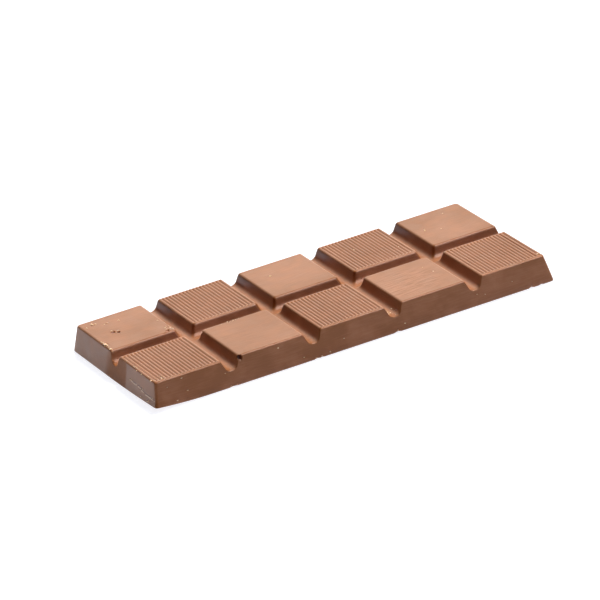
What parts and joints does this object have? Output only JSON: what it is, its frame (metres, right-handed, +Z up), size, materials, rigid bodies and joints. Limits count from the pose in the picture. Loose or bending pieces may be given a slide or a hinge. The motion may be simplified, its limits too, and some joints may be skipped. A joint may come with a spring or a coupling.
{
  "type": "chocolate bar",
  "caption": "Moulded milk chocolate bar, ribbed and plain blocks in turn, parted by rounded snapping grooves, with leaning side walls and a flat underside.",
  "frame": {"origin": "middle of the flat underside", "axes": "+X along the bar's long side, +Y across it towards the row whose end blocks are plain, +Z up out of the blocks"},
  "size_m": [0.1178, 0.0518, 0.0075],
  "materials": {
    "milk_chocolate": "satin"
  },
  "bodies": {
    "root": {"chocolate_bar": "milk_chocolate"}
  },
  "joints": []
}
